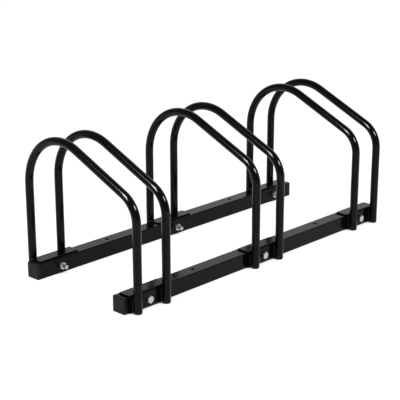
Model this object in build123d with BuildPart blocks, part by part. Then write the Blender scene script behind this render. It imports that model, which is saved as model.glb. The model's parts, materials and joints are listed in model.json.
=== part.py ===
"""Floor rack for three bikes: six bent hoops in pairs, welded to brackets and bolted to two square rails."""
import os
from math import atan2, cos, degrees, radians, sqrt, tan

from build123d import *

os.makedirs("parts", exist_ok=True)

# Layout: X runs along the rails, Y from the front rail to the rear rail, Z up from the ground
place_pitch = 310.0        # between neighbouring wheel places
hoop_spacing = 70.0        # between the two tube axes of one wheel place
leg_span = 292.0           # from front leg axis to rear leg axis

# Hoop tube
tube_d = 16.0
tube_wall = 1.2
front_corner_z = 198.0     # where the axes of front leg and slope would meet
rear_corner_z = 328.0      # where the axes of slope and rear leg would meet
front_bend_r = 52.0
rear_bend_r = 98.0

# Base rails
rail_size = 30.5
rail_wall = 1.5
rail_corner_r = 2.0
rail_bore_corner_r = 0.5
rail_overhang = 4.0        # beyond the end brackets
anchor_hole_d = 8.5
anchor_inset = 180.0       # from each rail end to its anchor hole

# Angle brackets
bracket_length = 92.0
bracket_sheet = 3.0
bracket_flange = 28.0      # from the outer face of the web to the inner edge of the flange
bracket_bend_r = 1.5       # inside of the bend
bracket_lift = 2.0         # lower edge of the web above the ground
weld_gap = 0.3             # between leg and web, bridged by the weld beads
weld_clearance = 0.2       # between weld bead and leg
weld_size = 1.8            # bead height up the leg and width along the web
weld_root = 2.7            # half of the strip behind the leg that no bead reaches
weld_margin = 0.8          # bead ends from the edges of the flat web

# Rail end caps
cap_head = 7.0
cap_corner_r = 2.0
cap_edge_r = 1.2
cap_insert = 18.0
cap_wall = 2.0
cap_clearance = 0.3

# Plugs in the feet of the legs
plug_rim = 6.0             # height of the foot under the tube, as wide as the tube
plug_edge_r = 3.0
plug_stem = 14.0
plug_wall = 1.8
plug_clearance = 0.3

# Hardware: one bolt through each bracket and rail
bolt_d = 8.0
bolt_hole_slack = 1.0
bolt_head_height = 5.3
bolt_end = 10.0            # thread standing out of the nut
bolt_point = 0.8           # chamfer on the end of the bolt
nut_height = 6.5
nut_bore_slack = 0.4
hex_flats = 13.0           # across head and nut
hex_chamfer = 1.4          # across each corner of head and nut
hex_chamfer_angle = 30.0

# Derived sizes
places = (("1", -place_pitch), ("2", 0.0), ("3", place_pitch))
sides = (("left", -hoop_spacing / 2), ("right", hoop_spacing / 2))
rows = (("front", -1.0), ("rear", 1.0))
tube_r = tube_d / 2
tube_bore_r = tube_r - tube_wall
leg_y = leg_span / 2
slope = degrees(atan2(rear_corner_z - front_corner_z, leg_span))
front_turn = 90 - slope
rear_turn = 90 + slope
front_tangent = front_bend_r * tan(radians(front_turn / 2))
rear_tangent = rear_bend_r * tan(radians(rear_turn / 2))
slope_length = leg_span / cos(radians(slope)) - front_tangent - rear_tangent
web_out = leg_y - tube_r - weld_gap
web_in = web_out - bracket_sheet
rail_in = web_in - rail_size
rail_y = (web_in + rail_in) / 2
rail_z = rail_size / 2
rail_bore = rail_size - 2 * rail_wall
cap_insert_size = rail_bore - 2 * cap_clearance
cap_bore = cap_insert_size - 2 * cap_wall
rail_length = 2 * place_pitch + bracket_length + 2 * rail_overhang
anchor_x = rail_length / 2 - anchor_inset
bracket_top = rail_size + bracket_sheet
bracket_outer_r = bracket_bend_r + bracket_sheet
flange_in = web_out - bracket_flange
bead_tip = sqrt(tube_r**2 - (tube_r + weld_gap - weld_size) ** 2)
bead_reach = bead_tip + weld_size
bead_bottom = bracket_lift + weld_margin
bead_top = bracket_top - bracket_outer_r - weld_margin
stem_r = tube_bore_r - plug_clearance
bolt_r = bolt_d / 2
bolt_hole_r = bolt_r + bolt_hole_slack / 2
bolt_length = bracket_sheet + rail_size + nut_height + bolt_end
hex_half_turn = 180 / 6
hex_corner_r = hex_flats / 2 / cos(radians(hex_half_turn))
hex_chamfer_z = hex_chamfer * tan(radians(hex_chamfer_angle))

# Hoops: front leg, front bend, slope, rear bend and rear leg in one bent tube
for place, place_x in places:
    for side, side_x in sides:
        hoop_x = place_x + side_x
        with BuildPart() as hoop:
            with BuildLine(Plane.YZ.offset(hoop_x)) as axis:
                front_leg = Line((-leg_y, plug_rim), (-leg_y, front_corner_z - front_tangent))
                front_bend = JernArc(front_leg @ 1, front_leg % 1, front_bend_r, -front_turn)
                incline = PolarLine(front_bend @ 1, slope_length, direction=front_bend % 1)
                rear_bend = JernArc(incline @ 1, incline % 1, rear_bend_r, -rear_turn)
                rear_leg = Line(rear_bend @ 1, (leg_y, plug_rim))
            with BuildSketch(Plane.XY.offset(plug_rim)):
                with Locations((hoop_x, -leg_y)):
                    Circle(tube_r)
                    Circle(tube_bore_r, mode=Mode.SUBTRACT)
            sweep(path=axis.wires()[0])
        hoop.part.label = f"hoop_{place}_{side}"
        export_step(hoop.part, f"parts/hoop_{place}_{side}.step")

# Plugs: a rounded foot under each leg and a hollow stem in its bore
for row, outward in rows:
    for place, place_x in places:
        for side, side_x in sides:
            foot = Plane(origin=(place_x + side_x, outward * leg_y, 0), x_dir=(1, 0, 0), z_dir=(0, -1, 0))
            with BuildPart() as plug:
                with BuildSketch(foot):
                    with BuildLine():
                        base = Line((0, 0), (tube_r - plug_edge_r, 0))
                        edge = JernArc(base @ 1, (1, 0), plug_edge_r, 90)
                        Polyline(
                            edge @ 1,
                            (tube_r, plug_rim),
                            (stem_r, plug_rim),
                            (stem_r, plug_rim + plug_stem),
                            (stem_r - plug_wall, plug_rim + plug_stem),
                            (stem_r - plug_wall, plug_rim),
                            (0, plug_rim),
                            (0, 0),
                        )
                    make_face()
                revolve(axis=Axis(foot.origin, (0, 0, 1)))
            plug.part.label = f"{row}_leg_plug_{place}_{side}"
            export_step(plug.part, f"parts/{row}_leg_plug_{place}_{side}.step")

# Rails: square tube with cross holes for the bolts and holes down for the ground anchors
for row, outward in rows:
    rail_start = Plane(origin=(-rail_length / 2, outward * rail_y, rail_z), x_dir=(0, 1, 0), z_dir=(1, 0, 0))
    rail_side = Plane(origin=(0, outward * rail_y, rail_z), x_dir=(1, 0, 0), z_dir=(0, -1, 0))
    rail_plan = Plane(origin=(0, outward * rail_y, rail_z), x_dir=(1, 0, 0), z_dir=(0, 0, 1))
    with BuildPart() as rail:
        with BuildSketch(rail_start):
            RectangleRounded(rail_size, rail_size, rail_corner_r)
            RectangleRounded(rail_bore, rail_bore, rail_bore_corner_r, mode=Mode.SUBTRACT)
        extrude(amount=rail_length)
        with BuildSketch(rail_side):
            with Locations(*[(place_x, 0) for place, place_x in places]):
                Circle(bolt_hole_r)
        extrude(amount=rail_size, both=True, mode=Mode.SUBTRACT)
        with BuildSketch(rail_plan):
            with Locations((-anchor_x, 0), (anchor_x, 0)):
                Circle(anchor_hole_d / 2)
        extrude(amount=rail_size, both=True, mode=Mode.SUBTRACT)
    rail.part.label = f"{row}_rail"
    export_step(rail.part, f"parts/{row}_rail.step")

# Brackets: bent sheet over the outer and top faces of the rail, with the weld beads beside the legs
for row, outward in rows:
    for place, place_x in places:
        section = Plane(origin=(place_x, 0, 0), x_dir=(0, outward, 0), z_dir=(outward, 0, 0))
        elevation = Plane(origin=(place_x, 0, rail_z), x_dir=(1, 0, 0), z_dir=(0, outward, 0))
        plan = Plane(origin=(place_x, 0, bead_bottom), x_dir=(outward, 0, 0), z_dir=(0, 0, 1))
        with BuildPart() as bracket:
            with BuildSketch(section):
                with BuildLine():
                    foot_edge = Line((web_in, bracket_lift), (web_out, bracket_lift))
                    outer_face = Line(foot_edge @ 1, (web_out, bracket_top - bracket_outer_r))
                    outer_bend = JernArc(outer_face @ 1, (0, 1), bracket_outer_r, 90)
                    flange = Polyline(
                        outer_bend @ 1,
                        (flange_in, bracket_top),
                        (flange_in, rail_size),
                        (web_in - bracket_bend_r, rail_size),
                    )
                    inner_bend = JernArc(flange @ 1, (1, 0), bracket_bend_r, -90)
                    Line(inner_bend @ 1, foot_edge @ 0)
                make_face()
            extrude(amount=bracket_length / 2, both=True)
            with BuildSketch(elevation):
                Circle(bolt_hole_r)
            extrude(amount=leg_span, mode=Mode.SUBTRACT)
            with BuildSketch(plan):
                for side, side_x in sides:
                    for turn in (-1.0, 1.0):
                        with BuildLine():
                            Polyline(
                                (side_x + turn * weld_root, web_out - bracket_sheet / 2),
                                (side_x + turn * bead_reach, web_out - bracket_sheet / 2),
                                (side_x + turn * bead_reach, web_out),
                                (side_x + turn * bead_tip, web_out + weld_size),
                                (side_x + turn * weld_root, web_out + weld_size),
                                close=True,
                            )
                        make_face()
                    with Locations((side_x, leg_y)):
                        Circle(tube_r + weld_clearance, mode=Mode.SUBTRACT)
            extrude(amount=bead_top - bead_bottom)
        bracket.part.label = f"{row}_bracket_{place}"
        export_step(bracket.part, f"parts/{row}_bracket_{place}.step")

# End caps: a rounded head over the rail end and a hollow insert in its bore
for row, outward in rows:
    for end, along in (("left", -1.0), ("right", 1.0)):
        rail_end = (along * rail_length / 2, outward * rail_y, rail_z)
        mouth = Plane(origin=rail_end, x_dir=(0, 1, 0), z_dir=(along, 0, 0))
        with BuildPart() as cap:
            with BuildSketch(mouth):
                RectangleRounded(rail_size, rail_size, cap_corner_r)
            extrude(amount=cap_head)
            rim = cap.faces().sort_by(Axis((0, 0, 0), (along, 0, 0)))[-1]
            fillet(rim.edges(), cap_edge_r)
            with BuildSketch(mouth):
                RectangleRounded(cap_insert_size, cap_insert_size, rail_bore_corner_r)
                Rectangle(cap_bore, cap_bore, mode=Mode.SUBTRACT)
            extrude(amount=-cap_insert)
        cap.part.label = f"{row}_{end}_end_cap"
        export_step(cap.part, f"parts/{row}_{end}_end_cap.step")

# Hardware: bolt and nut are shaped once about Z and set at the six crossings,
# heads outward, with two corners of each hexagon up and down
with BuildPart() as bolt:
    with BuildSketch():
        RegularPolygon(hex_flats / 2, 6, major_radius=False, rotation=hex_half_turn)
    extrude(amount=bolt_head_height)
    with BuildSketch(Plane.XZ):
        with BuildLine():
            Polyline(
                (0, 0),
                (hex_corner_r, 0),
                (hex_corner_r, bolt_head_height - hex_chamfer_z),
                (hex_corner_r - hex_chamfer, bolt_head_height),
                (0, bolt_head_height),
                close=True,
            )
        make_face()
    revolve(axis=Axis.Z, mode=Mode.INTERSECT)
    with BuildSketch():
        Circle(bolt_r)
    extrude(amount=-bolt_length)
    chamfer(bolt.faces().sort_by(Axis.Z)[0].edges(), bolt_point)

with BuildPart() as nut:
    with BuildSketch():
        RegularPolygon(hex_flats / 2, 6, major_radius=False, rotation=hex_half_turn)
    extrude(amount=nut_height)
    with BuildSketch(Plane.XZ):
        with BuildLine():
            Polyline(
                (0, 0),
                (hex_corner_r - hex_chamfer, 0),
                (hex_corner_r, hex_chamfer_z),
                (hex_corner_r, nut_height - hex_chamfer_z),
                (hex_corner_r - hex_chamfer, nut_height),
                (0, nut_height),
                close=True,
            )
        make_face()
    revolve(axis=Axis.Z, mode=Mode.INTERSECT)
    with BuildSketch():
        Circle(bolt_r + nut_bore_slack / 2)
    extrude(amount=nut_height, mode=Mode.SUBTRACT)


def seats(distance):
    """Planes across the bolts at a distance from the middle of the rack, facing outward."""
    planes = []
    for row, outward in rows:
        for place, place_x in places:
            seat = (place_x, outward * distance, rail_z)
            planes.append(Plane(origin=seat, x_dir=(1, 0, 0), z_dir=(0, outward, 0)))
    return planes


with BuildPart() as bolts:
    with Locations(*seats(web_out)):
        add(bolt.part)
bolts.part.label = "bracket_bolts"
export_step(bolts.part, "parts/bracket_bolts.step")

with BuildPart() as nuts:
    with Locations(*seats(rail_in - nut_height)):
        add(nut.part)
nuts.part.label = "bracket_nuts"
export_step(nuts.part, "parts/bracket_nuts.step")
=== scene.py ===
"""Looks of the bike rack: gloss black paint, satin plastic, zinc hardware and a white studio."""

import json
import math

import bpy
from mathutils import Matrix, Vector

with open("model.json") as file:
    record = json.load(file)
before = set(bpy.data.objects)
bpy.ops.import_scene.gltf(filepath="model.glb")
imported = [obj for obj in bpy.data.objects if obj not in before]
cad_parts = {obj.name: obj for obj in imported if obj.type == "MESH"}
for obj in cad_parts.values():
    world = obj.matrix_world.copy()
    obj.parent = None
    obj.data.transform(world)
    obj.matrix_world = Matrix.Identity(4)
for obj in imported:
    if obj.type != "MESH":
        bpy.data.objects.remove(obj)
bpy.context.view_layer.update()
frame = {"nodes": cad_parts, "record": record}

# Camera: aim point and distance in metres, lens in pixels of the picture, sensor in millimetres
PICTURE = 400
CAMERA_AZIMUTH = -46.137
CAMERA_ELEVATION = 18.116
CAMERA_DISTANCE = 2.44706
CAMERA_TARGET = Vector((0.00686, 0.0367, 0.07538))
FOCAL_PIXELS = 1202.82
CENTRE_X = 202.12
CENTRE_Y = 205.47
SENSOR = 36.0

# World: even light, and the studio that the finishes mirror, with a white backdrop in a dimmer room
WHITE = (1.0, 1.0, 1.0, 1.0)
AMBIENT = 0.5
CEILING = 0.6
ROOM = 0.28
BACKDROP_AZIMUTH = 114.0
BACKDROP_EDGE = (0.26, 0.7)    # fade to the room, as cosines of the angle from the backdrop's middle
BACKDROP_TOP = (0.75, 0.93)    # fade to the ceiling, as sines of the elevation

# Floor: the glow makes it look white; in tight corners within the contact reach the glow is taken away,
# which paints a contact shadow there
FLOOR_HALF = 9.0
FLOOR_COLOUR = (0.5, 0.5, 0.5, 1.0)
FLOOR_GLOW = 0.75
CONTACT_REACH = 0.02
CONTACT_RANGE = (0.24, 0.47)   # open share of the surroundings where the glow starts and where it is full
CONTACT_SAMPLES = 16

# Lamps aim at the middle of the rack; the streaks are mirrored by the hoops and light nothing else
LAMP_AIM = Vector((0.0, 0.0, 0.12))
LAMPS = (
    # name, azimuth, elevation, distance, width, height, power
    ("key_lamp", -75.0, 52.0, 1.9, 0.30, 0.30, 8.0),
    ("front_lamp", -8.0, 38.0, 1.9, 0.30, 0.30, 8.0),
)
STREAKS = (
    # name, azimuth, elevation, distance, width, height, power
    ("slope_streak", -89.5, 40.0, 1.9, 0.54, 0.70, 110.0),
    ("slope_glow", -104.0, 40.0, 1.9, 0.18, 0.70, 1.6),
    ("leg_streak", 4.0, 37.0, 1.9, 0.50, 0.45, 51.0),
)

# Finishes: darkest and lightest colour, smoothest and roughest spot, radius of soft edges in metres
HOOP_COLOURS = ((0.002, 0.0025, 0.003), (0.0035, 0.004, 0.0045))
HOOP_ROUGHNESS = (0.08, 0.1)
RAIL_COLOURS = ((0.0015, 0.003, 0.0045), (0.0025, 0.005, 0.0068))
RAIL_ROUGHNESS = (0.1, 0.22)
RAIL_EDGE = 0.0006
BRACKET_COLOURS = ((0.0015, 0.0025, 0.0035), (0.0025, 0.004, 0.005))
BRACKET_ROUGHNESS = (0.1, 0.2)
BRACKET_EDGE = 0.0005
CAP_COLOURS = ((0.002, 0.006, 0.0072), (0.0042, 0.0085, 0.0098))
CAP_ROUGHNESS = (0.38, 0.5)
CAP_EDGE = 0.0005
PLUG_COLOURS = ((0.006, 0.006, 0.006), (0.01, 0.01, 0.01))
PLUG_ROUGHNESS = (0.42, 0.55)
PLUG_EDGE = 0.0004
ZINC_COLOURS = ((0.42, 0.43, 0.44), (0.6, 0.61, 0.62))
ZINC_ROUGHNESS = (0.34, 0.5)
ZINC_EDGE = 0.0004
EDGE_SAMPLES = 6

# Specular level of the finishes
TUBE_GLOSS = 0.11
SHEET_GLOSS = 0.09
PLASTIC_GLOSS = 0.15

# Patterns: scale per metre, detail and roughness of the noise, and the part of its values in use
PAINT_CLOUD = (9.0, 4.0, 0.5)
PAINT_SMUDGE = (38.0, 5.0, 0.62)
PAINT_PEEL = (420.0, 2.0, 0.5)
PLASTIC_CLOUD = (60.0, 4.0, 0.5)
PLASTIC_GRAIN = (2600.0, 2.0, 0.5)
ZINC_CLOUD = (260.0, 4.0, 0.5)
ZINC_GRAIN = (1800.0, 3.0, 0.5)
NOISE_RANGE = (0.3, 0.7)

# Relief: strength of the bump and its height in metres
PAINT_RELIEF = (0.02, 0.0002)
PLASTIC_RELIEF = (0.25, 0.0001)
ZINC_RELIEF = (0.15, 0.0001)


def direction(azimuth, elevation):
    """Unit vector from the rack towards a place given by azimuth and elevation in degrees."""
    a = math.radians(azimuth)
    e = math.radians(elevation)
    return Vector((math.sin(a) * math.cos(e), -math.cos(a) * math.cos(e), math.sin(e)))


def link_object(name, data):
    """A new object in the scene."""
    made = bpy.data.objects.new(name, data)
    bpy.context.scene.collection.objects.link(made)
    return made


def add(tree, kind, **settings):
    """A new shader node with its properties set."""
    node = tree.nodes.new(kind)
    for key, value in settings.items():
        setattr(node, key, value)
    return node


def new_material(name):
    """A new material with its node tree and its shader."""
    material = bpy.data.materials.new(name)
    material.use_nodes = True
    tree = material.node_tree
    return material, tree, tree.nodes["Principled BSDF"]


def noise(tree, scale, detail, roughness):
    """A noise pattern that is fixed to the object."""
    node = add(tree, "ShaderNodeTexNoise")
    node.inputs["Scale"].default_value = scale
    node.inputs["Detail"].default_value = detail
    node.inputs["Roughness"].default_value = roughness
    place = add(tree, "ShaderNodeTexCoord").outputs["Object"]
    tree.links.new(place, node.inputs["Vector"])
    return node.outputs["Fac"]


def spread(tree, value, low, high, start, end):
    """Maps start..end of a value to low..high."""
    node = add(tree, "ShaderNodeMapRange")
    node.inputs["From Min"].default_value = start
    node.inputs["From Max"].default_value = end
    node.inputs["To Min"].default_value = low
    node.inputs["To Max"].default_value = high
    tree.links.new(value, node.inputs["Value"])
    return node.outputs["Result"]


def blend_colour(tree, factor, first, second):
    """First colour where the factor is 0, second where it is 1."""
    node = add(tree, "ShaderNodeMix", data_type="RGBA")
    node.inputs["A"].default_value = (*first, 1.0)
    node.inputs["B"].default_value = (*second, 1.0)
    tree.links.new(factor, node.inputs["Factor"])
    return node.outputs["Result"]


def combine(tree, operation, first, second):
    """Result of a mathematical operation on two values."""
    node = add(tree, "ShaderNodeMath", operation=operation)
    tree.links.new(first, node.inputs[0])
    tree.links.new(second, node.inputs[1])
    return node.outputs["Value"]


def bump(tree, height, strength, distance):
    """Bump node that lifts the surface by a pattern."""
    node = add(tree, "ShaderNodeBump")
    node.inputs["Strength"].default_value = strength
    node.inputs["Distance"].default_value = distance
    tree.links.new(height, node.inputs["Height"])
    return node


def soften_edges(tree, relief, radius):
    """Rounds the edges under a bump node."""
    node = add(tree, "ShaderNodeBevel", samples=EDGE_SAMPLES)
    node.inputs["Radius"].default_value = radius
    tree.links.new(node.outputs["Normal"], relief.inputs["Normal"])


def paint_surface(tree, shader, colours, shade, roughness, wear, relief):
    """Colour follows the shade pattern, roughness the wear pattern, and the normals a bump node."""
    colour = blend_colour(tree, spread(tree, shade, 0.0, 1.0, *NOISE_RANGE), *colours)
    tree.links.new(colour, shader.inputs["Base Color"])
    tree.links.new(spread(tree, wear, *roughness, *NOISE_RANGE), shader.inputs["Roughness"])
    tree.links.new(relief.outputs["Normal"], shader.inputs["Normal"])


def gloss_paint(name, colours, roughness, gloss, edge_radius=None):
    """Powder coat: deep black, faint orange peel, a little uneven in gloss."""
    material, tree, shader = new_material(name)
    cloud = noise(tree, *PAINT_CLOUD)
    smudge = noise(tree, *PAINT_SMUDGE)
    relief = bump(tree, noise(tree, *PAINT_PEEL), *PAINT_RELIEF)
    if edge_radius:
        soften_edges(tree, relief, edge_radius)
    paint_surface(tree, shader, colours, cloud, roughness, smudge, relief)
    shader.inputs["Specular IOR Level"].default_value = gloss
    return material


def satin_plastic(name, colours, roughness, edge_radius):
    """Moulded plastic: fine spark-eroded grain and a satin gloss."""
    material, tree, shader = new_material(name)
    cloud = noise(tree, *PLASTIC_CLOUD)
    relief = bump(tree, noise(tree, *PLASTIC_GRAIN), *PLASTIC_RELIEF)
    soften_edges(tree, relief, edge_radius)
    paint_surface(tree, shader, colours, cloud, roughness, cloud, relief)
    shader.inputs["Specular IOR Level"].default_value = PLASTIC_GLOSS
    return material


def zinc(name):
    """Bright zinc plating: cool grey metal, a little cloudy, with a fine grain."""
    material, tree, shader = new_material(name)
    cloud = noise(tree, *ZINC_CLOUD)
    relief = bump(tree, noise(tree, *ZINC_GRAIN), *ZINC_RELIEF)
    soften_edges(tree, relief, ZINC_EDGE)
    paint_surface(tree, shader, ZINC_COLOURS, cloud, ZINC_ROUGHNESS, cloud, relief)
    shader.inputs["Metallic"].default_value = 1.0
    return material


def make_finishes():
    """The material of each slot in the record."""
    hoop = gloss_paint("hoop_paint", HOOP_COLOURS, HOOP_ROUGHNESS, TUBE_GLOSS)
    rail = gloss_paint("rail_paint", RAIL_COLOURS, RAIL_ROUGHNESS, SHEET_GLOSS, RAIL_EDGE)
    bracket = gloss_paint("bracket_paint", BRACKET_COLOURS, BRACKET_ROUGHNESS, SHEET_GLOSS, BRACKET_EDGE)
    cap = satin_plastic("cap_plastic", CAP_COLOURS, CAP_ROUGHNESS, CAP_EDGE)
    plug = satin_plastic("plug_plastic", PLUG_COLOURS, PLUG_ROUGHNESS, PLUG_EDGE)
    return {
        "hoop_paint": hoop,
        "rail_paint": rail,
        "bracket_paint": bracket,
        "cap_plastic": cap,
        "plug_plastic": plug,
        "zinc_bolts": zinc("zinc_bolts"),
        "zinc_nuts": zinc("zinc_nuts"),
    }


def dress_nodes():
    """Gives every CAD node the material of its slot."""
    finishes = make_finishes()
    for part in frame["record"]["subparts"]:
        mesh = frame["nodes"][part["node"]].data
        mesh.materials.clear()
        mesh.materials.append(finishes[part["material_slot"]])


def background_rays(tree):
    """1 for camera, glossy and transmission rays, else 0."""
    path = add(tree, "ShaderNodeLightPath")
    seen = combine(tree, "MAXIMUM", path.outputs["Is Camera Ray"], path.outputs["Is Glossy Ray"])
    return combine(tree, "MAXIMUM", seen, path.outputs["Is Transmission Ray"])


def mirrored_studio(tree):
    """Strength of the world as the finishes mirror it: backdrop, room and ceiling."""
    towards = add(tree, "ShaderNodeTexCoord").outputs["Generated"]
    height = add(tree, "ShaderNodeSeparateXYZ")
    tree.links.new(towards, height.inputs["Vector"])
    facing = add(tree, "ShaderNodeVectorMath", operation="DOT_PRODUCT")
    facing.inputs[1].default_value = direction(BACKDROP_AZIMUTH, 0.0)
    tree.links.new(towards, facing.inputs[0])
    backdrop = spread(tree, height.outputs["Z"], 1.0, CEILING, *BACKDROP_TOP)
    walls = spread(tree, facing.outputs["Value"], ROOM, 1.0, *BACKDROP_EDGE)
    return combine(tree, "MULTIPLY", backdrop, walls)


def make_world():
    """Even light for the rack, the studio in its gloss and white for the camera."""
    world = bpy.data.worlds.new("studio")
    bpy.context.scene.world = world
    world.use_nodes = True
    tree = world.node_tree
    background = tree.nodes["Background"]
    background.inputs["Color"].default_value = WHITE
    mirrored = add(tree, "ShaderNodeMix")
    mirrored.inputs["A"].default_value = AMBIENT
    tree.links.new(mirrored_studio(tree), mirrored.inputs["B"])
    tree.links.new(background_rays(tree), mirrored.inputs["Factor"])
    strength = add(tree, "ShaderNodeMix")
    strength.inputs["B"].default_value = 1.0
    tree.links.new(mirrored.outputs["Result"], strength.inputs["A"])
    tree.links.new(add(tree, "ShaderNodeLightPath").outputs["Is Camera Ray"], strength.inputs["Factor"])
    tree.links.new(strength.outputs["Result"], background.inputs["Strength"])


def floor_glow_with_painted_shade(tree):
    """Full glow on the open floor and none in the tight corners behind the legs and under the brackets: a
    painted contact shadow.
    """
    node = add(tree, "ShaderNodeAmbientOcclusion", samples=CONTACT_SAMPLES)
    node.inputs["Distance"].default_value = CONTACT_REACH
    return spread(tree, node.outputs["AO"], 0.0, FLOOR_GLOW, *CONTACT_RANGE)


def make_floor():
    """Pale floor that looks white where it is lit and keeps the rack's shadow, with painted shade in the
    tight corners near the rack.
    """
    mesh = bpy.data.meshes.new("floor")
    corners = [(x * FLOOR_HALF, y * FLOOR_HALF, 0.0) for x, y in ((-1, -1), (1, -1), (1, 1), (-1, 1))]
    mesh.from_pydata(corners, [], [(0, 1, 2, 3)])
    floor = link_object("floor", mesh)
    material, tree, shader = new_material("floor")
    shader.inputs["Base Color"].default_value = FLOOR_COLOUR
    shader.inputs["Roughness"].default_value = 1.0
    shader.inputs["Specular IOR Level"].default_value = 0.0
    shader.inputs["Emission Color"].default_value = WHITE
    # Painted shade: the floor's glow fades out in the tight corners next to the rack
    glow = combine(tree, "MULTIPLY", background_rays(tree), floor_glow_with_painted_shade(tree))
    tree.links.new(glow, shader.inputs["Emission Strength"])
    mesh.materials.append(material)


def make_lamp(name, azimuth, elevation, distance, width, height, power):
    """Rectangular lamp that faces the rack."""
    lamp = bpy.data.lights.new(name, "AREA")
    lamp.shape = "RECTANGLE"
    lamp.size = width
    lamp.size_y = height
    lamp.energy = power
    made = link_object(name, lamp)
    towards = direction(azimuth, elevation)
    made.location = LAMP_AIM + towards * distance
    made.rotation_euler = towards.to_track_quat("Z", "Y").to_euler()
    return made


def make_lamps():
    """Two lamps for the whole rack, and the streaks in the gloss of the hoops."""
    for settings in LAMPS:
        make_lamp(*settings)
    hoops = bpy.data.collections.new("hoops")
    for name, node in frame["nodes"].items():
        if name.startswith("hoop_"):
            hoops.objects.link(node)
    for settings in STREAKS:
        streak = make_lamp(*settings)
        streak.visible_diffuse = False
        streak.light_linking.receiver_collection = hoops


def make_camera():
    """Camera at the place that the photo was taken from."""
    data = bpy.data.cameras.new("camera")
    data.sensor_width = SENSOR
    data.lens = FOCAL_PIXELS / PICTURE * SENSOR
    data.shift_x = (PICTURE / 2 - CENTRE_X) / PICTURE
    data.shift_y = (CENTRE_Y - PICTURE / 2) / PICTURE
    camera = link_object("camera", data)
    back = direction(CAMERA_AZIMUTH, CAMERA_ELEVATION)
    camera.location = CAMERA_TARGET + back * CAMERA_DISTANCE
    camera.rotation_euler = (-back).to_track_quat("-Z", "Y").to_euler()
    bpy.context.scene.camera = camera


dress_nodes()
make_world()
make_floor()
make_lamps()
make_camera()
bpy.context.scene.view_settings.view_transform = "Standard"
